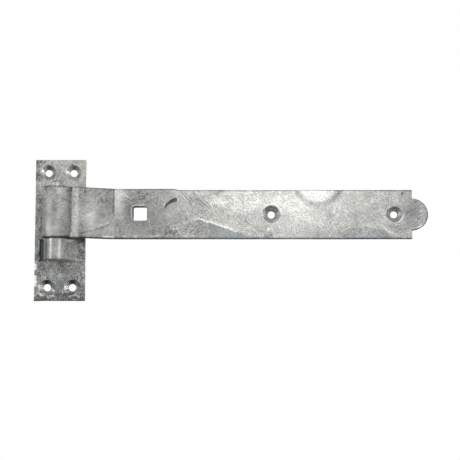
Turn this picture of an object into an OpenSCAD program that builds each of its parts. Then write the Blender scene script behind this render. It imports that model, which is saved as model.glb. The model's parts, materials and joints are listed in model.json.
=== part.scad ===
// Cranked hook-and-band gate hinge in hot-dip galvanised steel.
// The band is a long strap that is screwed to the gate. Its rolled eye drops over an upright
// pin, and a tongue pressed out of the hook plate grips the pin below the eye.
// The strap is cranked, so that its back lies in one plane with the back of the plate.
// Origin: centre of the plate's back face. +X runs along the strap to its tip, +Y points
// into the post, +Z points up along the pin. Sizes are in millimetres.

/* [Hook plate] */
// Width of the plate
plate_w = 41; // [39:0.5:46]
// Height of the plate
plate_h = 115; // [105:1:140]
// Thickness of the plate
plate_t = 4; // [3.5:0.5:5]
// Distance between the screw holes across the plate
plate_screw_pitch_x = 20.5; // [18:0.5:22]
// Distance between the upper and lower screw holes of the plate
plate_screw_pitch_z = 93.5; // [86:0.5:95]

/* [Pin] */
// Diameter of the pin
pin_d = 12; // [10:0.5:13]
// Height of the pin's top above the plate's centre
pin_top = 38.5; // [36:0.5:44]
// Length of the pin below the underside of the eye
pin_below_eye = 18.6; // [17:0.2:22]

/* [Strap] */
// Distance from the pin's axis to the tip of the strap
strap_reach = 300; // [270:5:450]
// Width of the strap's blade
strap_w = 40; // [36:1:46]
// Thickness of the strap
strap_t = 5; // [4:0.5:5.5]
// Angle of the crank between the eye and the blade
crank_angle = 25; // [20:1:35]
// Distance between the two screw holes of the blade
strap_screw_pitch = 100; // [60:5:110]
// Width of the square hole for a cup-square bolt
bolt_square = 11; // [8.5:0.5:13]

/* [Screw holes] */
// Diameter of the straight part of each screw hole
screw_d = 5.8; // [4:0.2:6.4]
// Diameter of the countersinks in the plate
plate_sink_d = 12.6; // [10:0.2:13]
// Diameter of the countersink in the middle of the strap
strap_sink_d = 14; // [10:0.2:14.4]
// Diameter of the countersink beside the strap's tip
tip_sink_d = 12.2; // [10:0.2:14.4]

/* [Hidden] */
$fn = 96;
cut = 1;                                   // how far a cutter runs past a surface

// Pin and eye, seen along the pin
pin_r = pin_d / 2;
eye_gap = 0.3;                             // running gap between the pin and the eye
bore_r = pin_r + eye_gap;
eye_r = bore_r + strap_t;
eye_plate_gap = 0.5;                       // gap between the eye and the plate
pin_x = -1;
pin_y = -(plate_t + eye_plate_gap + eye_r);
seam_w = 0.35;                             // seam where the rolled end meets the strap

// Strap heights and lengths
eye_z0 = -7.4;                             // underside of the eye
strap_z = eye_z0 + strap_w / 2;            // centre line of the blade
shoulder_h = 0.9;                          // extra width of the cranked part
shoulder_x = pin_x + 95.6;
neck_x = pin_x + eye_r + 5;                // front corner where the crank begins
bend_x = neck_x + (-pin_y - strap_t / 2) / tan(crank_angle);
bolt_x = pin_x + 66;
tip_x = pin_x + strap_reach;
tip_r = strap_w * 0.325;                   // round tongue at the end of the blade
end_x = tip_x - tip_r;
last_screw_x = end_x - 14.4;

// Tongue of the plate
tongue_t = 3;
tongue_r = pin_r + tongue_t;
tongue_z1 = eye_z0 - 0.5;                  // the eye rests just above the tongue
tongue_h = 17.2;
slot_x0 = -16.2;                           // left end of the opening the tongue came from
left_foot = -13.3;                         // where the tongue's left leg meets the plate
right_root = 13.7;                         // where the tongue leaves the plate
weld_t = 1.4;                              // weld that closes the slot at the back

// Point where a line from (x, y) touches the round of radius r about the pin's axis.
// side is 1 for the right leg of the tongue and -1 for the left one.
function touch(x, y, r, side) =
    let (dx = x - pin_x, dy = pin_y - y, turn = acos(r / norm([dx, dy])))
    let (a = atan2(-dy, dx) - side * turn)
    [pin_x + r * cos(a), pin_y + r * sin(a)];

// Raises a plan drawn in X and Y from height z0 to height z1.
module raise(z0, z1) {
    translate([0, 0, z0]) linear_extrude(z1 - z0) children();
}

module plan_box(x0, y0, x1, y1) {
    translate([x0, y0]) square([x1 - x0, y1 - y0]);
}

// A screw hole along +Y: straight through, with a 90 degree countersink at the front.
module screw_hole(x, z, thickness, sink_d) {
    depth = (sink_d - screw_d) / 2;
    translate([x, -thickness, z]) rotate([-90, 0, 0]) {
        translate([0, 0, -cut]) cylinder(d = screw_d, h = thickness + 2 * cut);
        translate([0, 0, -cut]) cylinder(d1 = sink_d + 2 * cut, d2 = screw_d, h = depth + cut);
    }
}

// One straight leg of the tongue in plan, from the round down to the plate's back.
module tongue_leg(foot_x, side) {
    outer = touch(foot_x, -plate_t, tongue_r, side);
    run = [foot_x, -plate_t] - outer;
    inner = outer + side * tongue_t / norm(run) * [-run[1], run[0]];
    outer_foot = outer - outer[1] / run[1] * run;
    inner_foot = inner - inner[1] / run[1] * run;
    polygon([outer, outer_foot, inner_foot, inner]);
}

module tongue_plan() {
    difference() {
        union() {
            difference() {
                translate([pin_x, pin_y]) circle(tongue_r);
                plan_box(pin_x - 2 * tongue_r, pin_y, pin_x + 2 * tongue_r, cut);
            }
            tongue_leg(left_foot, -1);
            tongue_leg(right_root, 1);
        }
        translate([pin_x, pin_y]) circle(pin_r);
    }
    plan_box(slot_x0, -weld_t, left_foot, 0);
}

module hook_plate() {
    color("silver")
    union() {
        difference() {
            translate([-plate_w / 2, -plate_t, -plate_h / 2]) cube([plate_w, plate_t, plate_h]);
            raise(tongue_z1 - tongue_h, tongue_z1) plan_box(slot_x0, -plate_t - cut, right_root, cut);
            for (x = [-0.5, 0.5] * plate_screw_pitch_x, z = [-0.5, 0.5] * plate_screw_pitch_z)
                screw_hole(x, z, plate_t, plate_sink_d);
        }
        raise(tongue_z1 - tongue_h, tongue_z1) tongue_plan();
    }
}

// Pin with a tapered nose that leads the eye on, and a chamfered lower end.
module pintle_pin() {
    z0 = eye_z0 - pin_below_eye;
    chamfer = 0.8;
    nose = 7;
    color("gainsboro")
    translate([pin_x, pin_y, 0])
    rotate_extrude()
    polygon([
        [0, z0],
        [pin_r - chamfer, z0],
        [pin_r, z0 + chamfer],
        [pin_r, pin_top - nose],
        [pin_r * 0.8, pin_top - 1.2],
        [pin_r * 0.62, pin_top],
        [0, pin_top],
    ]);
}

// Strap in plan: neck, crank and blade as one bent bar with mitred bends.
module strap_plan() {
    mitre = strap_t * tan(crank_angle / 2);
    neck_front = pin_y - strap_t / 2;
    polygon([
        [pin_x, neck_front],
        [neck_x, neck_front],
        [bend_x, -strap_t],
        [end_x, -strap_t],
        [end_x, 0],
        [bend_x - mitre, 0],
        [neck_x - mitre, neck_front + strap_t],
        [pin_x, neck_front + strap_t],
    ]);
}

module eye_and_strap_plan() {
    neck_front = pin_y - strap_t / 2;
    difference() {
        union() {
            strap_plan();
            translate([pin_x, pin_y]) circle(eye_r);
        }
        translate([pin_x, pin_y]) circle(bore_r);
        plan_box(pin_x, neck_front - seam_w, pin_x + eye_r + cut, neck_front);
    }
}

// Square hole with rounded corners, along +Y.
module bolt_hole() {
    r = 1.2;
    in = bolt_square / 2 - r;
    translate([bolt_x, cut, strap_z + shoulder_h / 2]) rotate([90, 0, 0])
    linear_extrude(strap_t + 2 * cut) {
        square([bolt_square, 2 * in], center = true);
        square([2 * in, bolt_square], center = true);
        for (x = [-in, in], y = [-in, in]) translate([x, y]) circle(r);
    }
}

// Crescent-shaped press mark in the front of the strap, cut off square at the shoulder.
module press_mark() {
    depth = 1.6;
    outer = [shoulder_x + 1.6, strap_z + 1.4];
    inner = [shoulder_x + 0.7, strap_z - 1.6];
    outer_r = 12;
    inner_r = 12.2;
    translate([0, depth - strap_t, 0]) rotate([90, 0, 0])
    linear_extrude(depth + cut)
    difference() {
        translate(outer) circle(outer_r);
        translate(inner) circle(inner_r);
        translate([shoulder_x, outer[1] - outer_r - cut]) square(2 * (outer_r + cut));
    }
}

module strap_band() {
    color("lightgray")
    difference() {
        union() {
            raise(eye_z0, eye_z0 + strap_w + shoulder_h)
            intersection() {
                eye_and_strap_plan();
                plan_box(pin_x - 2 * eye_r, pin_y - 2 * eye_r, shoulder_x, cut);
            }
            raise(eye_z0, eye_z0 + strap_w)
            intersection() {
                eye_and_strap_plan();
                plan_box(shoulder_x - cut, -strap_t - cut, end_x, cut);
            }
            translate([end_x, 0, strap_z]) rotate([90, 0, 0]) cylinder(r = tip_r, h = strap_t);
        }
        bolt_hole();
        press_mark();
        screw_hole(last_screw_x, strap_z, strap_t, tip_sink_d);
        screw_hole(last_screw_x - strap_screw_pitch, strap_z, strap_t, strap_sink_d);
    }
}

hook_plate();
pintle_pin();
strap_band();
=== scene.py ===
"""Looks of a galvanised hook-and-band gate hinge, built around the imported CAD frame.

Each steel piece is described as a distance field in millimetres, in the frame of the CAD model:
x along the strap, depth = -y towards the viewer, z up. A surface net turns the field into a
mesh, so bends, fillets, rolled edges and the uneven zinc coat are all real geometry.
"""
import json
import math

import bpy
import numpy as np
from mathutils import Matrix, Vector


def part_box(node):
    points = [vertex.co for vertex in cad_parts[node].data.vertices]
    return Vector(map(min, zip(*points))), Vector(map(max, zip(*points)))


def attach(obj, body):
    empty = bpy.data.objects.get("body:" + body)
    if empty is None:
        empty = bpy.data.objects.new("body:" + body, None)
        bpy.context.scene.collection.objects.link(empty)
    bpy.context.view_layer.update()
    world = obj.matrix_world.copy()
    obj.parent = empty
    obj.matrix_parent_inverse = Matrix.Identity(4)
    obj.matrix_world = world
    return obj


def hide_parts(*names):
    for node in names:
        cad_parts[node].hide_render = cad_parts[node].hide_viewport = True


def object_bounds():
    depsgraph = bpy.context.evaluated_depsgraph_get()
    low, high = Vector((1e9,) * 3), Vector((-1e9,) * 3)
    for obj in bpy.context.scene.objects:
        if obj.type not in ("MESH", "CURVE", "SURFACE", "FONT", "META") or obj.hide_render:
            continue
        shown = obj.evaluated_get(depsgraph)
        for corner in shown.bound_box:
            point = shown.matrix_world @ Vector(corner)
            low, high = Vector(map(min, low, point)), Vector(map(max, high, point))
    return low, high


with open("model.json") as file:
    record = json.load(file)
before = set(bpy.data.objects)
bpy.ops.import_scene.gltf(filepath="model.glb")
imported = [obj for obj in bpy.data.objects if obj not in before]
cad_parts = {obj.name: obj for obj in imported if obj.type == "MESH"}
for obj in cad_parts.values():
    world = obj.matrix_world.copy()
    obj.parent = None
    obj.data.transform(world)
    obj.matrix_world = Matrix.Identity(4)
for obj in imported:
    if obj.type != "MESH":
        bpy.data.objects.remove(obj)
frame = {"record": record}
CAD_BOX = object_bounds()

MM = 0.001


def node_box(name):
    """Lowest and highest corner of a CAD node, in millimetres."""
    low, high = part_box(name)
    return np.array(low) / MM, np.array(high) / MM


def mount(name):
    """Position of a mount in millimetres, and its dimensions."""
    found = [m for m in frame["record"]["mounts"] if m["name"] == name][0]
    return np.array(found["pos_m"]) / MM, found["dims"]


# ---------------------------------------------------------------- sizes
# In millimetres. What the frame holds is taken from it, the rest follows the CAD model.
PLATE_LOW, PLATE_HIGH = node_box("hook_plate")
PIN_LOW, PIN_HIGH = node_box("pintle_pin")
BAND_LOW, BAND_HIGH = node_box("strap_band")
PLATE_T = 4.0
STRAP_T = 5.0
PIN_X = (PIN_LOW[0] + PIN_HIGH[0]) / 2
PIN_DEPTH = -(PIN_LOW[1] + PIN_HIGH[1]) / 2
PIN_R = (PIN_HIGH[0] - PIN_LOW[0]) / 2
EYE_R = -BAND_LOW[1] - PIN_DEPTH
BORE_R = EYE_R - STRAP_T
STRAP_W = 40.0
EYE_TOP = BAND_HIGH[2]
STRAP_Z = BAND_LOW[2] + STRAP_W / 2
TIP_R = 13.0
END_X = BAND_HIGH[0] - TIP_R
SHOULDER_X = PIN_X + 95.6
LIP_X = PIN_X + EYE_R                        # right side of the eye
NECK_X = LIP_X + 5.0                         # where the crank begins
CREASE_X = 44.1                              # where the crank meets the blade
BOW_SLOPE = 0.22                             # the blade bows up a little towards the crease
BOW_LENGTH = 9.0
TONGUE_T = 3.0
TONGUE_TOP = BAND_LOW[2] - 0.5
TONGUE_LOW = TONGUE_TOP - 17.2
SLOT_X = -16.2                               # left end of the opening the tongue came from
LEFT_FOOT = -13.3                            # where the tongue's left leg meets the plate
RIGHT_ROOT = 13.7                            # where the tongue leaves the plate
WELD_T = 1.4                                 # weld that closes the slot at the back
WEB_H = 2.6                                  # zinc between the foot of the pin and the tongue
SCREW_R = 2.9
SINK_PLATE_R = 6.3
STRAP_SINKS = (7.2, 6.3)                     # in the middle of the blade and beside the tip


# ---------------------------------------------------------------- distance fields
def smooth(edge0, edge1, x):
    """From 0 at edge0 to 1 at edge1, level at both ends."""
    t = np.clip((x - edge0) / (edge1 - edge0), 0, 1)
    return t * t * (3 - 2 * t)


def bell(x, centre, width):
    """1 at the centre, falling off softly on both sides."""
    return np.exp(-((x - centre) / width) ** 2)


def blob(x, z, cx, cz, rx, rz):
    """A soft oval spot on the front: 1 in its middle."""
    return bell(x, cx, rx) * bell(z, cz, rz)


def both(a, b):
    """Intersection of two solids. Its edge is round when both were inset first."""
    return np.minimum(np.maximum(a, b), 0) + np.hypot(np.maximum(a, 0), np.maximum(b, 0))


def join(a, b, fillet):
    """Union with a fillet in the corner between the two solids."""
    h = np.clip(0.5 + 0.5 * (b - a) / fillet, 0, 1)
    return b + (a - b) * h - fillet * h * (1 - h)


def carve(solid, tool, rim):
    """The solid without the tool's space, with a rounded rim."""
    return -join(-solid, tool, rim)


def box_2d(u, v, u0, v0, u1, v1):
    """Distance to a rectangle."""
    return both(np.maximum(u0 - u, u - u1), np.maximum(v0 - v, v - v1))


def bar_2d(u, v, points, half):
    """Distance to a bar of constant thickness along a line of points."""
    best = np.full(u.shape, 1e9)
    for (u0, v0), (u1, v1) in zip(points[:-1], points[1:]):
        du, dv = u1 - u0, v1 - v0
        t = np.clip(((u - u0) * du + (v - v0) * dv) / (du * du + dv * dv), 0, 1)
        best = np.minimum(best, np.hypot(u - u0 - t * du, v - v0 - t * dv))
    return best - half


def noise(p, scale, seed):
    """Smooth random values from -1 to 1, with features of about scale millimetres."""
    q = p / scale + seed * 17.31
    cell = np.floor(q).astype(np.int64)
    f = q - cell
    f = f * f * f * (f * (f * 6 - 15) + 10)
    total = np.zeros(len(p))
    for corner in range(8):
        step = np.array([corner & 1, corner >> 1 & 1, corner >> 2 & 1])
        # an integer hash of the cell corner, turned into a value from -1 to 1
        key = ((cell + step) * np.array([73856093, 19349663, 83492791])).sum(1) + seed * 2654435
        key = (key ^ (key >> 13)) * 1274126177 & 0x7FFFFFFF
        key = (key ^ (key >> 15)) * 668265263 & 0x7FFFFFFF
        value = (key >> 7 & 0xFFFF) / 32767.5 - 1
        total += value * np.prod(np.where(step, f, 1 - f), axis=1)
    return total


def ridge(p, scale, seed):
    """Thin winding ridges, from 0 to 1."""
    return np.clip(1 - np.abs(noise(p, scale, seed)) * 4, 0, 1) ** 2


def surface_net(field, low, cell):
    """Vertices and quads of the surface where a sampled field changes sign.

    A cell with a crossing on any of its edges gets one vertex, the mean of its crossings. Each
    crossed edge gets one quad, between the four cells around it.
    """
    n = np.array(field.shape) - 1
    total = np.zeros((*n, 3))
    count = np.zeros(n)
    crossings = []
    for a in range(3):
        b, c = (a + 1) % 3, (a + 2) % 3
        lo = np.moveaxis(field, (a, b, c), (0, 1, 2))[:-1]
        hi = np.moveaxis(field, (a, b, c), (0, 1, 2))[1:]
        cross = (lo < 0) != (hi < 0)
        t = np.where(cross, lo / np.where(cross, lo - hi, 1), 0)
        crossings.append((cross, lo < 0))
        total_abc = np.moveaxis(total, (a, b, c), (0, 1, 2))
        count_abc = np.moveaxis(count, (a, b, c), (0, 1, 2))
        for ob in (0, 1):
            for oc in (0, 1):
                here = (slice(None), slice(ob, ob + n[b]), slice(oc, oc + n[c]))
                hit = cross[here]
                count_abc += hit
                total_abc[..., a] += t[here]
                total_abc[..., b] += hit * ob
                total_abc[..., c] += hit * oc
    used = count > 0
    index = np.full(count.shape, -1, np.int64)
    index[used] = np.arange(used.sum())
    where = np.argwhere(used)
    points = low + (where + total[used] / count[used][:, None]) * cell
    quads = []
    for a, (cross, lo_inside) in enumerate(crossings):
        b, c = (a + 1) % 3, (a + 2) % 3
        ids = np.moveaxis(index, (a, b, c), (0, 1, 2))
        hit = cross[:, 1:-1, 1:-1]
        i, j, k = np.nonzero(hit)
        ring = np.stack([ids[i, j, k], ids[i, j + 1, k], ids[i, j + 1, k + 1], ids[i, j, k + 1]], 1)
        flip = ~lo_inside[:, 1:-1, 1:-1][hit]
        ring[flip] = ring[flip][:, ::-1]
        quads.append(ring)
    return points, np.concatenate(quads)


def sample(solid, p, slab=400_000):
    """Values of a field at many points, worked out slab by slab to save memory."""
    return np.concatenate([solid(p[i:i + slab]) for i in range(0, len(p), slab)])


def add_object(name, data):
    piece = bpy.data.objects.new(name, data)
    bpy.context.scene.collection.objects.link(piece)
    return piece


def build(name, solid, low, high, cell):
    """A mesh object of a solid given as a distance function of points in millimetres."""
    margin, step, pull = 1.5, 0.15, 0.4
    low = np.asarray(low) - margin
    counts = np.ceil((np.asarray(high) + margin - low) / cell).astype(int) + 1
    axes = [low[i] + cell * np.arange(counts[i]) for i in range(3)]
    grid = np.stack(np.meshgrid(*axes, indexing="ij"), -1).reshape(-1, 3)
    points, quads = surface_net(sample(solid, grid).reshape(counts), low, cell)
    for _ in range(2):                       # pull the vertices onto the exact surface
        value = sample(solid, points)
        slope = np.stack([
            (sample(solid, points + step * e) - sample(solid, points - step * e)) / (2 * step)
            for e in np.eye(3)
        ], 1)
        size = np.maximum((slope ** 2).sum(1), 0.2)
        points -= slope * np.clip(value / size, -pull, pull)[:, None]
    mesh = bpy.data.meshes.new(name)
    mesh.from_pydata((points * MM).tolist(), [], quads.tolist())
    mesh.shade_smooth()
    return add_object(name, mesh), points


def near(solid, coat, reach=1.4):
    """The solid with a coat added, worked out only close to its surface."""
    def coated(p):
        value = solid(p)
        close = np.abs(value) < reach
        if close.any():
            value[close] -= coat(p[close])
        return value
    return coated


# ---------------------------------------------------------------- strap
def strap_line():
    """Middle line of the strap in plan, from the eye over the crank to the tip."""
    drop = PIN_DEPTH - STRAP_T / 2
    slope = (drop - BOW_SLOPE * BOW_LENGTH / 2) / (CREASE_X - NECK_X)
    turn = 2.2
    points = [(PIN_X + 3, PIN_DEPTH)]
    for t in np.linspace(-1, 1, 6):
        points.append((NECK_X + t * turn, PIN_DEPTH - slope * turn * (t + 1) ** 2 / 4))
    for t in np.linspace(0, 1, 6):
        points.append((CREASE_X + t * BOW_LENGTH,
                       STRAP_T / 2 + BOW_SLOPE * BOW_LENGTH * (1 - t) ** 2 / 2))
    points.append((END_X + 2 * TIP_R, STRAP_T / 2))
    return points


STRAP_LINE = strap_line()


def hole(p, centre, wall_r, sink_r, thickness):
    """A countersunk screw hole that runs front to back."""
    across = np.hypot(p[:, 0] - centre[0], p[:, 2] - centre[1])
    depth = -p[:, 1]
    past = 1.5                               # how far the hole runs past the front
    sink_from = thickness - (sink_r - wall_r)
    cone = (across - wall_r - (depth - sink_from)) / math.sqrt(2)
    return np.maximum(np.minimum(across - wall_r, cone), depth - thickness - past)


def strap_holes():
    centre, dims = mount("band_screws")
    return [(centre[0] + side * dims["spacing_x_mm"] / 2, centre[2]) for side in (-1, 1)]


STRAP_HOLES = strap_holes()
BOLT_HOLE, _ = mount("bolt_hole")
BOLT_HALF = 5.5                              # half the width of the square hole
BOLT_CORNER = 1.2                            # radius of its corners
MARK_DEEP = 1.6                              # depth of the crescent press mark


def bolt_square(x, z):
    """Distance to the outline of the square hole with rounded corners."""
    half = BOLT_HALF - BOLT_CORNER
    return box_2d(x - BOLT_HOLE[0], z - BOLT_HOLE[2], -half, -half, half, half) - BOLT_CORNER


def press_mark(x, z):
    """Distance to the outline of the crescent pressed in beside the shoulder."""
    outer = np.hypot(x - SHOULDER_X - 1.6, z - STRAP_Z - 1.4) - 12
    inner = np.hypot(x - SHOULDER_X - 0.7, z - STRAP_Z + 1.6) - 12.2
    return np.maximum(np.maximum(outer, -inner), x - SHOULDER_X)


def strap_top(x):
    """Height of the strap's top edge, with the shoulder."""
    low = STRAP_Z + STRAP_W / 2
    return low + (EYE_TOP - low) * (1 - smooth(SHOULDER_X - 0.5, SHOULDER_X + 0.5, x))


def strap_solid(p):
    x, depth, z = p[:, 0], -p[:, 1], p[:, 2]
    bar = bar_2d(x, depth, STRAP_LINE, STRAP_T / 2)
    from_pin = np.hypot(x - PIN_X, depth - PIN_DEPTH)
    eye = np.abs(from_pin - (EYE_R + BORE_R) / 2) - STRAP_T / 2
    plan = np.where(depth < PIN_DEPTH, join(bar, eye, 5), np.minimum(bar, eye))
    top, bottom = strap_top(x), BAND_LOW[2]
    half, left = (top - bottom) / 2, -40     # the left side lies clear of the eye
    side = box_2d(x, z - (top + bottom) / 2, left, -half, END_X, half)
    disc = np.hypot(x - END_X, z - STRAP_Z) - TIP_R
    side = join(side, disc, 0.6)
    edge = 0.75
    solid = both(plan + edge, side + edge) - edge
    solid = carve(solid, from_pin - BORE_R, 0.8)
    lip = PIN_DEPTH + STRAP_T / 2
    seam = bar_2d(x, depth, [(LIP_X + 1.2, lip + 1.4), (LIP_X - 2.0, lip + 0.25)], 0.42)
    solid = carve(solid, seam, 0.5)
    for centre, sink_r in zip(STRAP_HOLES, STRAP_SINKS):
        solid = carve(solid, hole(p, centre, SCREW_R, sink_r, STRAP_T), 0.35)
    solid = carve(solid, bolt_square(x, z), 0.7)
    mark = np.maximum(press_mark(x, z), STRAP_T - MARK_DEEP - depth)
    return carve(solid, mark, 0.3)


# Lines left by the running zinc, as points of x and z in millimetres on the front face.
RUN_EDGE = [
    (80, -9), (85, -6), (91, -1.2), (97.7, 3.7), (105.8, 7.7), (113.2, 9.0), (118.9, 6.1),
    (124.6, 4.9), (131, 2.0), (137.7, 0), (145.8, -3.3), (154, -4.7), (175, -5.3), (212, -4.1),
]
RAMP_RUN = [(18, -3.0), (30.7, 0.4), (34.8, 2.4), (40, 5.4)]
TIP_RUN = [(257, 4.5), (262, 2.6), (266, -1.5), (271, -6.4)]
DENT = (209.7, 39.7)                         # centre of the shallow round dent at the top edge
DENT_R = 19.0


def above_run(p):
    """Signed distance above the uneven lower edge of the thick zinc run on the blade."""
    edge = np.interp(p[:, 0], *zip(*RUN_EDGE), left=-9, right=-9)
    return p[:, 2] - edge + 0.4 * noise(p, 5, 6)


def above_pool(p):
    """Signed distance above the shallow pool of zinc along the blade's lower edge."""
    x, z = p[:, 0], p[:, 2]
    return z - 2.4 + 6.5 * np.abs((x - 247) / 25) ** 1.6 + 1.1 * noise(p, 7, 8)


def past_dent(x, z):
    """Signed distance outside the rim of the dent."""
    return np.hypot(x - DENT[0], z - DENT[1]) - DENT_R


def trail(x, z, points, width):
    """From 0 to 1 along a line of points."""
    return bell(bar_2d(x, z, points, 0), 0, width)


def front_of_strap(p):
    """1 on the front half of the strap, 0 on its back."""
    line_x, line_depth = zip(*STRAP_LINE)
    return smooth(-0.6, 0.6, -p[:, 1] - np.interp(p[:, 0], line_x, line_depth))


def strap_coat(p):
    """Thickness of the zinc on the strap, in millimetres, beside its even layer."""
    x, depth, z = p[:, 0], -p[:, 1], p[:, 2]
    front = front_of_strap(p)
    coat = (0.07 * noise(p, 22, 1) + 0.035 * noise(p, 7, 2)) * (0.5 + 0.5 * smooth(8, 20, x))
    coat += 0.05 * noise(p, 2.4, 4) * (0.35 + 0.65 * smooth(-0.2, 0.5, noise(p, 16, 5)))
    above = above_run(p)
    crest = 0.20 * smooth(-0.5, 0.2, above) - 0.16 * smooth(0.5, 3.0, above)
    crest *= (0.4 + 0.6 * smooth(104, 114, x)) * smooth(80, 92, x) * smooth(165, 136, x)
    relief = crest + 0.10 * trail(x, z, RAMP_RUN, 0.8) + 0.10 * trail(x, z, TIP_RUN, 1.3)
    pool = above_pool(p)
    relief += 0.12 * smooth(-0.6, 0.3, pool) * smooth(4.0, 0.5, pool) * smooth(222, 232, x)
    relief -= 0.10 * bell(past_dent(x, z), 0, 1.5)
    relief += 0.16 * bell(bolt_square(x, z), 1.0, 0.7)
    relief -= 0.10 * bell(x, CREASE_X - 0.6, 0.6)
    relief += 0.12 * smooth(2.0, 0.2, z - BAND_LOW[2]) * np.clip(noise(p, 9, 7), 0, 1)
    bore = smooth(EYE_R - 1, BORE_R + 1, np.hypot(x - PIN_X, depth - PIN_DEPTH))
    back_of_eye = smooth(7, 5.5, depth) * smooth(NECK_X, NECK_X - 6, x)
    return (coat + front * relief) * (1 - 0.8 * np.maximum(bore, back_of_eye))


# ---------------------------------------------------------------- hook plate
def tangent(foot_x, radius, side):
    """Angle about the pin at which a straight leg from foot_x touches the tongue's round."""
    dx, dy = foot_x - PIN_X, PLATE_T - PIN_DEPTH
    return math.atan2(dy, dx) + side * math.acos(radius / math.hypot(dx, dy))


def tongue_line():
    """Middle line of the tongue in plan: left leg, round over the pin, right leg."""
    middle = PIN_R + TONGUE_T / 2
    outer = PIN_R + TONGUE_T
    right = tangent(RIGHT_ROOT, outer, 1)
    left = tangent(LEFT_FOOT, outer, -1) % (2 * math.pi)
    bend = [(PIN_X + middle * math.cos(a), PIN_DEPTH + middle * math.sin(a))
            for a in np.linspace(left, right, 24)]

    def foot(angle, start):
        """Where the leg that is square to an angle, from the start, ends inside the plate."""
        direction = np.array([math.sin(angle), -math.cos(angle)])
        if direction[1] > 0:
            direction = -direction
        length = (start[1] - TONGUE_T / 2) / -direction[1]
        return tuple(np.array(start) + direction * length)

    return [foot(left, bend[0])] + bend + [foot(right, bend[-1])]


TONGUE_LINE = tongue_line()
_, PLATE_PITCH = mount("plate_screws")
PLATE_HOLES = [(side * PLATE_PITCH["spacing_x_mm"] / 2, end * PLATE_PITCH["spacing_y_mm"] / 2)
               for side in (-1, 1) for end in (-1, 1)]


def plate_solid(p):
    x, depth, z = p[:, 0], -p[:, 1], p[:, 2]
    edge = 0.6
    face = box_2d(x, z, PLATE_LOW[0], PLATE_LOW[2], PLATE_HIGH[0], PLATE_HIGH[2])
    solid = both(face + edge, np.maximum(-depth, depth - PLATE_T) + edge) - edge
    window = box_2d(x, z, SLOT_X, TONGUE_LOW, RIGHT_ROOT + 0.5, TONGUE_TOP)
    solid = carve(solid, window, 0.4)
    height = np.maximum(TONGUE_LOW - z, z - TONGUE_TOP)
    bar = np.maximum(bar_2d(x, depth, TONGUE_LINE, TONGUE_T / 2), -depth)
    root = box_2d(x, depth, RIGHT_ROOT - 3, 0, RIGHT_ROOT + 2, PLATE_T)
    bar = join(bar, root, 2.0)
    weld = box_2d(x, depth, SLOT_X - 1, 0, LEFT_FOOT, WELD_T)
    bar = np.minimum(bar, weld)
    tongue = both(bar + edge, height + edge) - edge
    web = box_2d(x, depth, LEFT_FOOT + 1.5, 0.8, RIGHT_ROOT - 1.5, PIN_DEPTH)
    web = np.maximum(np.maximum(web, z - TONGUE_LOW - WEB_H), TONGUE_LOW + 0.5 - z)
    web = np.maximum(web, x - RIGHT_ROOT + (depth - PLATE_T) * 0.42)
    web = np.maximum(web, LEFT_FOOT - x + (depth - PLATE_T) * 0.25)
    tongue = join(tongue, web, 0.8)
    solid = join(solid, tongue, 0.5 + 4.5 * smooth(3, 8, x) * smooth(-9, -13, z))
    solid = np.maximum(solid, -depth)
    solid = carve(solid, np.hypot(x - PIN_X, depth - PIN_DEPTH) - PIN_R, 0.3)
    for centre in PLATE_HOLES:
        solid = carve(solid, hole(p, centre, SCREW_R, SINK_PLATE_R, PLATE_T), 0.35)
    return solid


# Drips at the foot of the plate, as points of x and z.
FOOT_RUNS = [
    [(-17, -51.5), (-13.5, -53.2), (-11, -51.8)],
    [(-9, -54.6), (-5.5, -53.4), (-3, -54.8)],
    [(9, -53.8), (13, -52.4), (16, -54.2)],
    [(-6, -48.6), (-4.4, -49.6)],
]


def plate_coat(p):
    """Thickness of the zinc on plate and tongue, in millimetres, beside its even layer."""
    x, depth, z = p[:, 0], -p[:, 1], p[:, 2]
    front = smooth(PLATE_T - 1.5, PLATE_T - 0.5, depth) * smooth(PLATE_T + 2, PLATE_T + 1, depth)
    coat = 0.07 * noise(p, 18, 11) + 0.04 * noise(p, 6, 12) + 0.04 * noise(p, 2.0, 13)
    coat += front * smooth(-30, -50, z) * 0.12 * ridge(p * np.array([0.7, 1, 1.2]), 6, 14)
    for run in FOOT_RUNS:
        coat += front * 0.14 * trail(x, z, run, 0.9)
    coat += smooth(-50, -57, z) * 0.1 * np.clip(noise(p, 5, 15), 0, 1)
    hem = smooth(TONGUE_LOW + 2.5, TONGUE_LOW, z) * smooth(PLATE_T + 2, PLATE_T + 4, depth)
    coat += hem * 0.25 * np.clip(noise(p, 4, 16), -0.2, 1)
    behind_eye = smooth(EYE_R + 3, EYE_R, np.abs(x - PIN_X)) * smooth(EYE_TOP + 3, EYE_TOP, z)
    behind_eye *= smooth(BAND_LOW[2] - 3, BAND_LOW[2] - 0.5, z)
    top_of_tongue = smooth(TONGUE_TOP - 1.2, TONGUE_TOP - 0.4, z)
    top_of_tongue *= smooth(PLATE_T + 0.5, PLATE_T + 2, depth)
    in_bore = smooth(PIN_R + 1, PIN_R + 0.3, np.hypot(x - PIN_X, depth - PIN_DEPTH))
    calm = np.maximum.reduce([behind_eye, top_of_tongue, in_bore])
    return coat * (1 - 0.85 * calm)


# ---------------------------------------------------------------- pin
def pin_solid(p):
    x, depth, z = p[:, 0], -p[:, 1], p[:, 2]
    across = np.hypot(x - PIN_X, depth - PIN_DEPTH)
    top = PIN_HIGH[2]
    heights = [PIN_LOW[2], top - 7, top - 1.2, top]
    radius = np.interp(z, heights, [PIN_R, PIN_R, PIN_R * 0.8, PIN_R * 0.68])
    edge = 0.9
    height = np.maximum(PIN_LOW[2] - z, z - top)
    return both((across - radius) * 0.98 + edge, height + edge) - edge


def pin_coat(p):
    nose = smooth(BAND_HIGH[2] - 1, BAND_HIGH[2] + 1, p[:, 2])
    return (0.02 * noise(p, 5, 21) + 0.012 * noise(p, 1.8, 22)) * (1 + 2 * nose)


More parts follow.
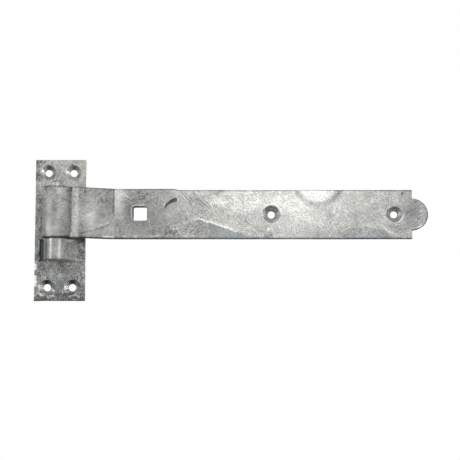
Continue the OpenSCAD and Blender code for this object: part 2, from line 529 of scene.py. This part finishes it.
# ---------------------------------------------------------------- materials
class Nodes:
    """Short calls for building a node tree."""

    def __init__(self, tree):
        self.tree = tree
        self.tree.nodes.clear()

    def add(self, kind, inputs=None, **settings):
        node = self.tree.nodes.new(kind)
        for key, value in settings.items():
            setattr(node, key, value)
        for key, value in (inputs or {}).items():
            self.put(node.inputs[key], value)
        return node

    def put(self, socket, value):
        if isinstance(value, bpy.types.NodeSocket):
            self.tree.links.new(value, socket)
        else:
            socket.default_value = value

    def math(self, operation, a, b=0.0, clamp=False):
        node = self.add("ShaderNodeMath", {0: a, 1: b}, operation=operation, use_clamp=clamp)
        return node.outputs[0]

    def total(self, *terms):
        """Weighted sum of (value, weight) pairs."""
        total = 0.0
        for value, weight in terms:
            total = self.math("ADD", self.math("MULTIPLY", value, weight), total)
        return total

    def noise(self, place, scale, detail=4.0, rough=0.55, distort=0.0):
        """Noise stretched to about -1 to 1."""
        node = self.add("ShaderNodeTexNoise", {"Vector": place, "Scale": scale, "Detail": detail,
                                               "Roughness": rough, "Distortion": distort})
        return self.span(node.outputs["Fac"], 0.32, 0.68, -1.0, 1.0)

    def ramp(self, value, *stops):
        node = self.add("ShaderNodeValToRGB", {"Fac": value})
        ramp = node.color_ramp
        while len(ramp.elements) < len(stops):
            ramp.elements.new(0.5)
        for element, (place, colour) in zip(ramp.elements, stops):
            element.position = place
            element.color = (*colour, 1)
        return node.outputs["Color"]

    def span(self, value, low, high, to_low=0.0, to_high=1.0):
        return self.add("ShaderNodeMapRange", {"Value": value, "From Min": low, "From Max": high,
                                               "To Min": to_low, "To Max": to_high}).outputs["Result"]

    def mix(self, factor, a, b):
        """Mix of two colours. Sockets 6, 7 and 2 are the ones that the node has for colours."""
        node = self.add("ShaderNodeMix", {"Factor": factor, 6: a, 7: b}, data_type="RGBA")
        return node.outputs[2]

    def pick(self, factor, a, b):
        """Mix of two shader nodes."""
        return self.add("ShaderNodeMixShader", {0: factor, 1: a.outputs[0], 2: b.outputs[0]})

    def attribute(self, name):
        return self.add("ShaderNodeAttribute", attribute_name=name).outputs["Fac"]

    def finish(self, shader, kind="ShaderNodeOutputMaterial"):
        self.tree.links.new(shader.outputs[0], self.add(kind).inputs["Surface"])


def new_material(name):
    material = bpy.data.materials.new(name)
    material.use_nodes = True
    return material, Nodes(material.node_tree)


def streaks(n, place, angle):
    """Short strokes in the zinc that lie at an angle on the front face."""
    turned = n.add("ShaderNodeMapping", {"Vector": place, "Rotation": (0, math.radians(angle), 0),
                                         "Scale": (0.0060, 0.004, 0.0012)}, vector_type="TEXTURE")
    return n.noise(turned.outputs[0], 1.0, 3, 0.5, 0.4)


# Tints that cover the zinc's grey where the layer of the same name shows.
# The darkest tint is painted shade in recesses, the slot and on shaded countersink walls; the blue
# tint is also laid as painted shade in the slot and the press mark.
TINTS = {
    "blue": (0.22, 0.265, 0.30, 1),
    "rust": (0.19, 0.15, 0.08, 1),
    "painted_shade": (0.020, 0.026, 0.030, 1),
}
WARM = (0.52, 0.50, 0.41, 1)


def galvanised(name, dark, light, roughness, speck):
    """Hot-dip zinc: cloudy greys, grain, faint crystals, strokes, painted light and shade from the
    tone layer, and dull painted shade in the hollows.

    speck is the share of the finest flecks in the pattern.
    """
    material, n = new_material(name)
    place = n.add("ShaderNodeTexCoord").outputs["Object"]
    cloud = n.noise(place, 60, 5, 0.6, 0.8)
    grain = n.noise(place, 430, 5, 0.62, 0.3)
    fleck = n.noise(place, 1000, 2, 0.6)
    crystal = n.add("ShaderNodeTexVoronoi", {"Vector": place, "Scale": 240.0}).outputs["Color"]
    crystal = n.span(n.add("ShaderNodeSeparateColor", {"Color": crystal}).outputs[0], 0, 1, -1, 1)
    falling = n.math("MULTIPLY", streaks(n, place, 45), n.attribute("falling"))
    rising = n.math("MULTIPLY", streaks(n, place, -45), n.attribute("rising"))
    stroke = n.math("ADD", falling, rising)
    mottle = n.total((grain, 0.29 - speck), (fleck, speck), (crystal, 0.06))
    mottle = n.math("MULTIPLY", mottle, n.attribute("coarse"))
    # the tone layer holds painted light and shade besides the zinc's own mottling
    tone = n.total((cloud, 0.06), (mottle, 0.85), (stroke, 0.22), (n.attribute("tone"), 0.8))
    tone = n.math("ADD", tone, 0.34, clamp=True)
    middle = [(a + b) / 2 for a, b in zip(dark, light)]
    colour = n.ramp(tone, (0.0, dark), (0.5, middle), (1.0, light))
    warm = n.span(n.noise(place, 90, 3, 0.5, 1.0), 0.1, 0.9)
    colour = n.mix(n.math("MULTIPLY", warm, 0.15), colour, WARM)
    for layer, tint in TINTS.items():
        colour = n.mix(n.attribute(layer), colour, tint)
    rough = n.total((grain, 0.07), (cloud, -0.05), (n.attribute("shine"), -1.0))
    rough = n.math("ADD", rough, roughness, clamp=True)
    height = n.total((grain, 0.55), (fleck, 0.25), (stroke, 0.8))
    height = n.math("MULTIPLY", height, n.math("ADD", n.attribute("coarse"), 0.2))
    bump = n.add("ShaderNodeBump", {"Strength": 0.75, "Distance": 0.00025, "Height": height})
    # painted shade is also made less metallic
    metal = n.total((n.attribute("painted_shade"), -0.7), (1.0, 0.82))
    shader = n.add("ShaderNodeBsdfPrincipled", {"Base Color": colour, "Metallic": metal,
                                                "Roughness": rough, "Normal": bump.outputs["Normal"]})
    n.finish(shader)
    return material


# ---------------------------------------------------------------- painting
# tone and the darkest tint's layer also carry painted light and shade
LAYERS = ("tone", "coarse", "blue", "rust", "painted_shade", "shine", "falling", "rising")


def paint(piece, layers):
    """Stores how strongly each named layer shows at each vertex."""
    for name in LAYERS:
        values = layers.get(name, 0) + np.zeros(len(piece.data.vertices))
        layer = piece.data.attributes.new(name, "FLOAT", "POINT")
        layer.data.foreach_set("value", np.clip(values, -1, 3).astype(np.float32))


def toward(x, z, centre, angle, spread):
    """1 in the direction of an angle from a centre, falling off on both sides. In degrees."""
    off = np.degrees(np.arctan2(z - centre[1], x - centre[0])) - angle
    return bell((off + 180) % 360, 180, spread)


def arc(x, z, centre, radius, width, angle, spread):
    """From 0 to 1 on the stretch of a ring that lies at an angle from its centre."""
    ring = bell(np.hypot(x - centre[0], z - centre[1]), radius, width)
    return ring * toward(x, z, centre, angle, spread)


def sink_wall(p, centre, sink_r, thickness):
    """1 on the wall of a countersink."""
    across = np.hypot(p[:, 0] - centre[0], p[:, 2] - centre[1])
    inside = smooth(-thickness - 1, -thickness + 0.3, p[:, 1])
    return inside * smooth(sink_r + 0.3, sink_r - 0.5, across)


def spots(x, z, table):
    """Sum of soft spots: centre x and z, half width, half height, and how much lighter."""
    return sum(amount * blob(x, z, cx, cz, rx, rz) for cx, cz, rx, rz, amount in table)


def strokes(x, z, table):
    """Sum of soft strokes: line of points, half width, and how much lighter."""
    return sum(amount * trail(x, z, points, width) for points, width, amount in table)


# ---------------------------------------------------------------- painted light and shade, and marks on the strap
# Lighter and darker spots, partly painted light and shade and partly the zinc's own mottling
STRAP_SPOTS = [
    # eye and crank, painted lighter where light falls on them
    (3.1, 30.5, 2.2, 1.1, 0.25), (5, 25, 4, 7, 0.10), (19, 17, 3, 12, 0.12),
    (26, 13, 5, 30, 0.22), (40, -2, 9, 4, 0.10),
    # about the square hole
    (56.5, 14, 4, 12, -0.12), (60, -5, 17, 5, 0.08), (64, 9, 13, 6, -0.08),
    (65, 25, 9, 4, -0.10), (83, -3, 13, 4, -0.14), (90, 14, 7, 9, 0.16),
    # from the shoulder to the middle screw
    (104, 3, 7, 7, -0.20), (107, 24, 6, 4, -0.20), (110, 14, 8, 6, -0.05),
    (114, 18, 6, 5, -0.22), (128, 30, 6, 4, -0.25), (137, 26, 5, 6, -0.16),
    (155, 21.6, 13, 9, 0.20), (166, 30, 5, 4, -0.18), (168, 19, 5, 5, -0.10),
    (172, 0, 8, 4, -0.26), (176, 30, 9, 4, -0.12),
    # from the middle screw to the tip
    (188, 19, 9, 6, 0.20), (190, 15, 10, 6, 0.12), (205, 8, 28, 8, 0.18),
    (212, -3, 18, 4, -0.12), (245, 25, 9, 6, 0.08), (247, 12, 9, 5, -0.10),
    (272, -1, 10, 6, -0.08), (280, 12, 8, 12, -0.10), (284, 1, 7, 7, 0.12),
]
BLUE_SPOT = [(167.0, -5.1), (172.0, -4.4)]
STRAP_STROKES = [
    # painted shade along the seam of the eye, and painted glints on eye and ramp
    ([(LIP_X + 0.3, -5), (LIP_X + 0.3, 33)], 0.5, -0.25),
    ([(LIP_X + 1.2, -3.4), (LIP_X + 0.7, -7)], 0.7, 0.60),
    ([(16, 28.5), (16.4, 32)], 1.2, 0.30),
    ([(31.5, 2.0), (34.0, 4.0)], 0.5, 0.30),
    ([(35.6, -6.0), (43.8, -6.0)], 0.7, 0.75),
    # the run on the ramp: a painted highlight on its upper end, and painted shade under it
    (RAMP_RUN[2:], 0.5, 0.30),
    ([(x, z - 0.9) for x, z in RAMP_RUN], 0.5, -0.22),
    # glints between crease and shoulder
    ([(51.9, 29.8), (55.2, 26.5)], 0.6, 0.45),
    ([(51.2, -5.3), (52.6, -5.2)], 0.7, 0.45),
    ([(60.7, -5.3), (62, -5.2)], 0.7, 0.45),
    ([(73, -5.6), (76.5, -5.2), (80.5, -4.4)], 0.7, 0.35),
    ([(95.4, 15.5), (97.5, 11.5), (98.8, 8.6)], 0.8, -0.22),
    # glint at the end of the thick run, over a bluish spot
    ([(168.8, 0.4), (171.4, 1.0)], 1.2, 0.45),
    (BLUE_SPOT, 1.2, -0.30),
    # beside the tip
    (TIP_RUN, 1.3, 0.18),
    ([(278, 29.6), (278.2, 30.4)], 0.8, -0.50),
    ([(285, 32), (286, 31)], 0.9, -0.40),
    ([(291, 9.6), (291.6, 9.0)], 0.9, -0.25),
]
ROUGH_PATCH = (98, -1, 15, 6.5)              # centre x and z, half width, half height


def broad_tone(p, x, z):
    """Broad painted light and shade along the whole strap: lighter along the middle of the blade and
    on its upper half, darker near the eye, towards the tip and low on the right half; and a cloudy
    mottle of the zinc.
    """
    tone = 0.28 * smooth(82, 114, x + 0.4 * (z - STRAP_Z)) * smooth(325, 258, x)
    tone += 0.05 * smooth(SHOULDER_X - 1, SHOULDER_X + 1, x)
    tone += 0.20 * smooth(-2, 10, z - STRAP_Z) * smooth(110, 135, x) * smooth(260, 225, x)
    tone -= 0.05 * smooth(90, 60, x)
    tone -= 0.24 * smooth(200, 228, x)
    tone -= 0.09 * smooth(274, 284, x)
    tone -= 0.06 * smooth(-4, -14, z - STRAP_Z) * smooth(150, 180, x)
    return tone + 0.05 * noise(p, 28, 31) + 0.05 * noise(p, 8, 32)


def speckle_tone(p, x, z):
    """Bright flakes on the upper middle of the blade, specks, and the rough patch."""
    flakes = smooth(95, 125, x) * smooth(235, 190, x) * smooth(4, 14, z)
    specks = smooth(95, 110, x) * smooth(280, 250, x)
    specks *= smooth(0.1, 0.5, noise(p, 1.6, 35)) * smooth(-0.2, 0.6, noise(p, 14, 36))
    slanted = np.stack([(x + z) * 0.45, p[:, 1], z - x], 1)
    tone = 0.12 * flakes * noise(p, 3.2, 38) + 0.16 * specks
    return tone + 0.42 * blob(x, z, *ROUGH_PATCH) * noise(slanted, 1.7, 34)


def eye_tone(x, z):
    """Painted light and shade on the eye and crank: a painted sheen down the eye, the lit neck beside
    its seam painted lighter, a painted highlight strip beside the crease of the crank, and painted
    shade in the crease.
    """
    tone = 0.14 * smooth(23, 31, z) * smooth(10, 6, x)
    tone += 0.26 * bell(x, -5.0, 2.4) * smooth(30, 16, z)
    tone += 0.05 * bell(x, 2.3, 2.2) - 0.03 * bell(x, 6.5, 1.8)
    tone += 0.18 * smooth(7, 0, z) * smooth(-9, -6, x) * smooth(4, 1, x)
    tone += 0.40 * smooth(11.2, 12.2, x) * smooth(18, 15.5, x)
    tone += 0.08 * smooth(38, 42, x) * smooth(45, 43, x) * smooth(20, 26, z)
    strip = smooth(CREASE_X - 0.2, CREASE_X + 0.5, x) * smooth(CREASE_X + 11, CREASE_X + 3, x)
    tone += strip * (0.66 * smooth(2, 26, z) - 0.14)
    return tone - 0.30 * bell(x, CREASE_X - 0.5, 0.55) * smooth(8, 20, z)


def edge_tone(x, z):
    """The dent's bright floor and dark rim, a painted highlight on the lower rim of the round tip,
    its darker right rim, and painted shade along the top and bottom edges of the blade.
    """
    dent = past_dent(x, z)
    tone = 0.22 * smooth(-1.5, -4.5, dent)
    tone -= (0.30 + 0.12 * smooth(204, 196, x)) * bell(dent, 0.3, 2.0)
    tip = np.hypot(x - END_X, z - STRAP_Z) - TIP_R
    tone += 0.9 * arc(x, z, (END_X, STRAP_Z), TIP_R - 1.2, 0.6, -57, 12)
    tone -= 0.35 * smooth(-1.4, -0.4, tip) * smooth(294, 297.5, x) * smooth(3, 8, z)
    tone -= 0.34 * smooth(1.5, 0.3, strap_top(x) - z)
    return tone - (0.19 + 0.14 * smooth(190, 130, x)) * smooth(1.8, 0.5, z - BAND_LOW[2])


def strap_sink_marks(p, x, z):
    """Painted light and shade in and about the strap's two countersinks: painted highlights round
    their rims and painted shade on stretches of their walls.
    """
    middle, tip = STRAP_HOLES
    middle_r, tip_r = STRAP_SINKS
    tone = sink_wall(p, middle, middle_r, STRAP_T) * (0.50 * noise(p, 1.2, 39) - 0.22)
    tone += 1.0 * arc(x, z, middle, middle_r + 0.9, 0.6, 75, 50)
    tone -= 0.4 * blob(x, z, middle[0] + 7.6, middle[1] - 0.6, 1.2, 1.2)
    tone += 0.12 * sink_wall(p, tip, tip_r, STRAP_T)
    tone += 0.9 * blob(x, z, tip[0] + 4.2, tip[1] + 1.4, 1.1, 1.1)
    tone += 0.9 * arc(x, z, tip, tip_r + 0.6, 0.45, -38, 26)
    tone += 0.6 * arc(x, z, tip, tip_r + 0.7, 0.6, 122, 14)
    painted_shade = np.maximum.reduce([
        0.60 * arc(x, z, middle, middle_r - 0.6, 0.9, 105, 45),
        0.35 * arc(x, z, tip, tip_r - 0.7, 0.8, -45, 30),
        0.55 * arc(x, z, tip, tip_r - 1.2, 1.1, 80, 40),
    ])
    return tone, painted_shade


def strap_coarse(p, x, z):
    """How strongly the zinc's fine pattern shows on the strap."""
    cloudy = smooth(-0.4, 0.4, noise(p, 18, 37))
    coarse = 0.60 + 0.55 * smooth(94, 104, x) * smooth(225, 180, x) * cloudy
    coarse += 0.55 * smooth(14, 24, z) * smooth(94, 80, x) - 0.15 * smooth(276, 284, x)
    coarse += 1.2 * blob(x, z, *ROUGH_PATCH) + 0.6 * blob(x, z, 125, 22, 26, 12)
    return coarse + 0.5 * smooth(24, 18, x) * smooth(10, 13, x) + 0.05 * smooth(12, 8, x)


def paint_strap(piece, p):
    x, depth, z = p[:, 0], -p[:, 1], p[:, 2]
    above, pool = above_run(p), above_pool(p)
    run = smooth(82, 95, x) * smooth(212, 150, x)
    strong = smooth(106, 114, x)
    crest = run * bell(above, 0.5, 0.8) * smooth(146, 136, x)
    right = smooth(222, 232, x)
    # the press mark is painted dark and bluish: painted shade in its hollow, lighter near its upper
    # end
    mark = smooth(0.5, 0.0, press_mark(x, z)) * smooth(STRAP_T + 0.2, STRAP_T - 0.25, depth)
    mark *= 1 - 0.55 * blob(x, z, SHOULDER_X, STRAP_Z + 13.6, 3, 1.3)
    square = bolt_square(x, z)
    corner = np.maximum(x - BOLT_HOLE[0], BOLT_HOLE[2] - z)
    sink_tone, sink_shade = strap_sink_marks(p, x, z)

    tone = broad_tone(p, x, z) + speckle_tone(p, x, z) + eye_tone(x, z) + edge_tone(x, z)
    tone += sink_tone + spots(x, z, STRAP_SPOTS) + strokes(x, z, STRAP_STROKES)
    # painted highlight along the crest of the thick run, and darker below its edge
    tone += (0.08 + 0.55 * strong) * crest - 0.22 * run * strong * smooth(0.2, -1.0, above)
    tone += right * (0.12 * bell(pool, 0.6, 0.8) - 0.08 * smooth(0.4, -1.5, pool))
    # painted highlight on the upper left rim of the square hole
    tone += 0.65 * bell(square, 1.5, 0.38) * smooth(5, 2, corner)
    shine = 0.10 * smooth(0.0, 0.6, noise(p, 12, 33)) * smooth(90, 110, x)
    shine += 0.15 * crest * strong - 0.12 * smooth(CREASE_X + 8, CREASE_X - 4, x)
    marks = {
        "tone": tone,
        "shine": shine,
        "painted_shade": np.maximum.reduce([
            sink_shade,
            (0.20 + 0.38 * smooth(85, 90, x)) * mark,
            # painted shade on the upper left walls of the square hole
            0.85 * smooth(1.35, 0.5, square) * smooth(4.5, 2.5, corner),
        ]),
        "blue": np.maximum.reduce([
            0.42 * smooth(0.0, -1.2, above) * smooth(108, 134, x) * smooth(215, 150, x),
            0.26 * smooth(0.8, -2.5, pool) * right,
            0.60 * trail(x, z, BLUE_SPOT, 1.2),
            0.20 * blob(x, z, 286, 15, 6, 5),
            0.75 * mark,
        ]),
        "rust": np.maximum(
            0.8 * arc(x, z, STRAP_HOLES[1], STRAP_SINKS[1] - 0.2, 0.9, 175, 50),
            0.7 * blob(x, z, 130, STRAP_Z + STRAP_W / 2, 4.0, 2.2),
        ),
        "falling": blob(x, z, 110, 22, 17, 13) + 0.12 * blob(x, z, 283, 22, 6, 9),
        "rising": 0.25 + 0.45 * blob(x, z, 25, 14, 8, 12) + 0.8 * blob(x, z, 217, 9, 10, 6),
    }
    front = front_of_strap(p)
    marks = {name: layer * front for name, layer in marks.items()}
    paint(piece, {**marks, "coarse": strap_coarse(p, x, z)})


# ---------------------------------------------------------------- painted light and shade, and marks on plate and pin
# Painted light and shade as spots: on the face, painted shade beside the eye; about the tongue, a
# painted shadow under the strap, a flank painted lighter and a lighter band below the loop
FACE_SPOTS = [(-18.5, -20, 2.5, 10, 0.10), (-15, 14, 1.6, 18, -0.12), (0, -41, 14, 6, 0.12),
              (12, -29, 8, 4, 0.16)]
TONGUE_SPOTS = [(9.5, -9, 3.0, 1.6, 0.30), (18.5, -8.5, 4.5, 2.6, -0.35), (11, -17, 3.5, 10, 0.20),
                (14.5, -19.5, 3.0, 5, -0.26), (11, -26, 5, 2, 0.25)]
# Painted shade on the walls of the countersinks: strength, angle and spread in degrees.
UPPER_SHADE = [(0.70, 82, 34), (0.55, -35, 30)]
LOWER_SHADE = [(1.10, 90, 34)]
UPPER_GLINT, LOWER_GLINT = 155, 165          # direction of the bright spot, in degrees


def face_tone(x, z):
    """Painted light and shade on the flat face: lighter near the top and just below the tongue,
    darker at the foot and in its corners, with painted shade beside the eye and in a blotch under the
    loop.
    """
    tone = spots(x, z, FACE_SPOTS) + 0.12 * smooth(25, 40, z) + 0.10 * smooth(-20, -26, z)
    tone -= 0.17 * smooth(-10, -30, z) + 0.05 * smooth(0, -12, x) * smooth(46, 30, z)
    tone -= 0.30 * smooth(-14, -16.5, x) * smooth(36, 42, z)
    tone -= 0.10 * smooth(11, 15, x) * smooth(-27, -23, z) * smooth(-7, -9, z)
    tone -= 0.30 * smooth(-50, -53, z)
    tone -= 0.25 * trail(x, z, [(0, -26.5), (4.5, -31)], 1.6)
    under = smooth(TONGUE_LOW - 5, TONGUE_LOW - 1, z) * smooth(TONGUE_LOW + 1, TONGUE_LOW, z)
    return tone + 0.22 * under * smooth(17, 12, x) * smooth(-15, -12, x)


def plate_sink_marks(p, x, z):
    """Painted shade and painted glints on the walls of the plate's countersinks."""
    painted_shade, glint = np.zeros(len(p)), np.zeros(len(p))
    for centre in PLATE_HOLES:
        upper = centre[1] > 0
        wall = sink_wall(p, centre, SINK_PLATE_R, PLATE_T)
        for amount, angle, spread in UPPER_SHADE if upper else LOWER_SHADE:
            painted_shade = np.maximum(painted_shade, amount * wall * toward(x, z, centre, angle, spread))
        angle = UPPER_GLINT if upper else LOWER_GLINT
        glint = np.maximum(glint, wall * toward(x, z, centre, angle, 30))
    return painted_shade, glint


def slot_shade(x, depth, z):
    """1 inside the slot to the left of the tongue."""
    slot = smooth(SLOT_X - 0.3, SLOT_X + 0.2, x) * smooth(LEFT_FOOT + 0.4, LEFT_FOOT - 0.2, x)
    slot *= smooth(PLATE_T + 0.2, PLATE_T - 0.4, depth) * smooth(0.3, 1.0, depth)
    return slot * smooth(TONGUE_TOP + 0.3, TONGUE_TOP, z) * smooth(TONGUE_LOW - 0.3, TONGUE_LOW, z)


def paint_plate(piece, p):
    x, depth, z = p[:, 0], -p[:, 1], p[:, 2]
    front = smooth(0.5, 2.0, depth)
    face = smooth(PLATE_T + 2, PLATE_T + 0.5, depth) * front
    loop = smooth(PLATE_T + 1, PLATE_T + 3, depth)
    round_part = loop * smooth(6.5, 4.5, x)
    sheen = bell(x, -3.8, 0.9) + bell(x, 3.3, 0.9)
    # a painted glint along the lower left edge of the plate
    edge_glint = front * smooth(-18.2, -19.4, x) * smooth(-24, -30, z) * smooth(-56, -50, z)
    edge_glint *= smooth(-0.6, 0.2, noise(p, 5, 45))
    # the drips at the foot and that edge are painted lighter, as glints
    drip_and_edge_glints = sum(trail(x, z, run, 0.9) for run in FOOT_RUNS) + edge_glint
    painted_shade, glint = plate_sink_marks(p, x, z)
    slot = slot_shade(x, depth, z)

    tone = 0.05 * noise(p, 20, 41) + (0.07 - 0.03 * smooth(25, 40, z)) * noise(p, 6, 42)
    tone += 0.16 * noise(p, 2.2, 47) * smooth(-12, -17, x)
    tone += face * (face_tone(x, z) + 0.7 * drip_and_edge_glints) + spots(x, z, TONGUE_SPOTS)
    # painted light on the underside of the loop; painted sheen bands on its round, darker at its
    # bottom; a light strip and a dark line painted on its left leg
    tone += 0.30 * loop * smooth(TONGUE_LOW + 0.6, TONGUE_LOW - 0.2, z)
    tone += round_part * (0.28 * sheen - 0.10 - 0.06 * smooth(TONGUE_LOW + 1.2, TONGUE_LOW, z))
    tone += round_part * (0.15 * bell(x, -11.2, 0.8) - 0.25 * bell(x, -8.2, 0.8))
    # painted glints on the lower left edge and the countersink walls
    tone += 0.9 * edge_glint + 1.4 * glint
    shine = 0.18 * smooth(-15, -40, z) * smooth(-0.1, 0.5, noise(p, 8, 44))
    shine += 0.20 * np.clip(drip_and_edge_glints, 0, 1) + 0.10 * loop * np.clip(sheen, 0, 1) + 0.30 * glint
    coarse = 1.6 + 0.3 * face * smooth(-20, -35, z) - 0.25 * smooth(25, 40, z) - 1.0 * round_part
    blue = 0.30 * smooth(-12, -30, z) * face * smooth(-0.2, 0.5, noise(p, 10, 43))
    paint(piece, {
        "tone": tone,
        "coarse": coarse * (1 - 0.8 * np.clip(drip_and_edge_glints + glint, 0, 1)),
        # the slot is painted dark and bluish as shade
        "blue": np.maximum(blue, slot),
        "painted_shade": np.maximum(painted_shade, 0.12 * slot),
        "shine": shine,
        "rising": 0.3 * face,
    })


def paint_pin(piece, p):
    x, z = p[:, 0] - PIN_X, p[:, 2]
    # painted highlights down the pin, and painted shade on its left side and round its top
    tone = 0.1 * noise(p, 4, 51) + 0.3 * bell(x, 1.1, 1.1) + 0.15 * bell(x, -2.4, 1.0)
    tone -= 0.35 * (smooth(-3.6, -4.6, x) + smooth(PIN_HIGH[2] - 1.6, PIN_HIGH[2] - 0.6, z))
    paint(piece, {"tone": tone, "coarse": 0.7})


# ---------------------------------------------------------------- pieces
def make(node, solid, coat, painter, material, cell):
    """Builds and paints one visible piece, and ties it to its CAD node and body.

    cell is the width of the surface net's cells in millimetres.
    """
    low, high = node_box(node)
    piece, points = build(node + "_zinc", near(solid, coat), low, high, cell)
    painter(piece, points)
    piece.data.materials.append(material)
    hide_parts(node)
    body = [b for b, nodes in frame["record"]["behaviour"]["bodies"].items() if node in nodes][0]
    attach(piece, body)


DARK, LIGHT = (0.095, 0.10, 0.105), (0.98, 0.98, 0.95)
PIN_DARK, PIN_LIGHT = (0.10, 0.105, 0.11), (0.95, 0.95, 0.92)
strap_zinc = galvanised("strap_zinc_look", DARK, LIGHT, roughness=0.50, speck=0.15)
plate_zinc = galvanised("plate_zinc_look", DARK, LIGHT, roughness=0.46, speck=0.20)
pin_zinc = galvanised("pin_zinc_look", PIN_DARK, PIN_LIGHT, roughness=0.40, speck=0.15)

make("strap_band", strap_solid, strap_coat, paint_strap, strap_zinc, cell=0.61)
make("hook_plate", plate_solid, plate_coat, paint_plate, plate_zinc, cell=0.45)
make("pintle_pin", pin_solid, pin_coat, paint_pin, pin_zinc, cell=0.4)


# ---------------------------------------------------------------- floor, light and camera
def floor():
    """A wide floor far below. The camera sees it white, and straight through it from below."""
    z, half = CAD_BOX[0][2] - 0.30, 6.0
    corners = [(-half, -half, z), (half, -half, z), (half, half, z), (-half, half, z)]
    mesh = bpy.data.meshes.new("floor")
    mesh.from_pydata(corners, [], [(0, 1, 2, 3)])
    material, n = new_material("floor_pale")
    seen = n.add("ShaderNodeLightPath").outputs["Is Camera Ray"]
    below = n.add("ShaderNodeNewGeometry").outputs["Backfacing"]
    plain = n.add("ShaderNodeBsdfDiffuse", {"Color": (0.2, 0.2, 0.2, 1)})
    glow = n.add("ShaderNodeEmission", {"Color": (1, 1, 1, 1), "Strength": 1.0})
    clear = n.add("ShaderNodeBsdfTransparent")
    n.finish(n.pick(below, n.pick(seen, plain, glow), clear))
    mesh.materials.append(material)
    add_object("floor", mesh)


def studio_world():
    """White behind the object. The room in its reflections is grey, dimmer above, dark below."""
    world = bpy.data.worlds.new("studio")
    bpy.context.scene.world = world
    world.use_nodes = True
    n = Nodes(world.node_tree)
    seen = n.add("ShaderNodeLightPath").outputs["Is Camera Ray"]
    way = n.add("ShaderNodeTexCoord").outputs["Generated"]
    height = n.add("ShaderNodeSeparateXYZ", {"Vector": way}).outputs["Z"]
    greys = ((-1.0, 0.09), (-0.25, 0.18), (0.06, 0.94), (0.40, 0.90), (0.80, 0.58), (1.0, 0.46))
    stops = [((z + 1) / 2, (grey, grey, grey * 0.965)) for z, grey in greys]
    room = n.add("ShaderNodeBackground", {"Color": n.ramp(n.span(height, -1, 1), *stops)})
    white = n.add("ShaderNodeBackground", {"Color": (1, 1, 1, 1)})
    n.finish(n.pick(seen, room, white), "ShaderNodeOutputWorld")


def stand(piece, aim, direction, distance):
    """Puts a lamp or camera at a distance from the aim, looking back at it."""
    piece.location = aim + direction * distance
    piece.rotation_euler = direction.to_track_quat("Z", "Y").to_euler()


def softbox(name, azimuth, elevation, distance, width, height, power, aim):
    """An area light, in degrees, metres and watts. Azimuth 0 is in front, positive to the right."""
    a, e = math.radians(azimuth), math.radians(elevation)
    lamp = bpy.data.lights.new(name, "AREA")
    lamp.shape = "RECTANGLE"
    lamp.size, lamp.size_y, lamp.energy = width, height, power
    direction = Vector((math.sin(a) * math.cos(e), -math.cos(a) * math.cos(e), math.sin(e)))
    stand(add_object(name, lamp), aim, direction, distance)


def camera(aim, elevation, distance):
    """A long lens in front of the object. Below zero degrees it looks up at it a little."""
    lens = bpy.data.cameras.new("camera")
    lens.lens, lens.sensor_width = 76.7, 36.0
    piece = add_object("camera", lens)
    e = math.radians(elevation)
    stand(piece, aim, Vector((0, -math.cos(e), math.sin(e))), distance)
    bpy.context.scene.camera = piece


CENTRE = (Vector(CAD_BOX[0]) + Vector(CAD_BOX[1])) / 2
AIM = Vector((CENTRE.x - 0.00125, 0, CENTRE.z + 0.0003))
floor()
studio_world()
softbox("key", 24, 12, 1.4, 0.40, 0.60, 5.0, AIM)
softbox("fill", -54, 8, 1.4, 0.22, 0.70, 3.0, AIM)
softbox("side", 84, -8, 1.4, 0.50, 0.60, 0.9, AIM)
softbox("glint", 77, -16, 1.4, 0.19, 0.46, 2.8, AIM)
softbox("back", 176, 20, 1.6, 1.00, 0.80, 9.0, AIM)
camera(AIM, -5, 0.80)
bpy.context.scene.view_settings.view_transform = "Standard"
